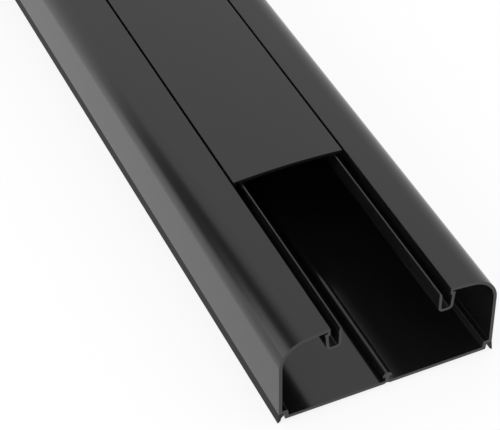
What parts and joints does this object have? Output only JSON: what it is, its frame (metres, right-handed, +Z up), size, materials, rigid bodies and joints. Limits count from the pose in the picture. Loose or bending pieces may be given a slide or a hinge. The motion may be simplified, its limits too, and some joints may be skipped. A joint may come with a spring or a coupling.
{
  "type": "cord cover raceway",
  "caption": "Black cable trunking, 120 by 55 mm, 2 m long, with a snap-in lid set back from one end.",
  "frame": {"origin": "centre of the length and width, on the level floor under the soft lips", "axes": "+Y along the length, away from the open-lid end; +Z up from the wall side to the lid; X is the width"},
  "size_m": [0.1216, 2, 0.0558],
  "materials": {
    "body_plastic": "satin",
    "lip_rubber": "matt"
  },
  "bodies": {
    "root": {"trunking_base": "body_plastic", "lid": "body_plastic", "soft_lip_left": "lip_rubber", "soft_lip_right": "lip_rubber"}
  },
  "joints": []
}
